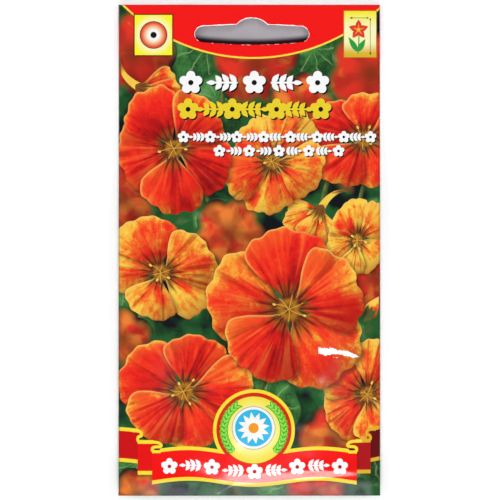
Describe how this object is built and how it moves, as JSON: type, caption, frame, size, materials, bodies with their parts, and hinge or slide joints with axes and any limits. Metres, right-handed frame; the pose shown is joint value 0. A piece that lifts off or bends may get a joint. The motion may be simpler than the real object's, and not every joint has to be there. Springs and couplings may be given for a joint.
{
  "type": "seed packet",
  "caption": "Flat paper seed packet with a punched hanging header, printed with flowers, holding loose corky seeds.",
  "frame": {"origin": "on the surface the packet lies on, under the middle of its outline", "axes": "+X to the right and +Y to the hanging header as the print is read, +Z out of the printed front"},
  "size_m": [0.08, 0.15, 0.0076],
  "materials": {
    "printed_paper": "coated paper, printed in full colour, glossy",
    "seed_husk": "corky, matt"
  },
  "bodies": {
    "root": {"packet_sheet": "printed_paper", "seed_01": "seed_husk", "seed_02": "seed_husk", "seed_03": "seed_husk", "seed_04": "seed_husk", "seed_05": "seed_husk", "seed_06": "seed_husk", "seed_07": "seed_husk", "seed_08": "seed_husk", "seed_09": "seed_husk", "seed_10": "seed_husk"}
  },
  "joints": []
}
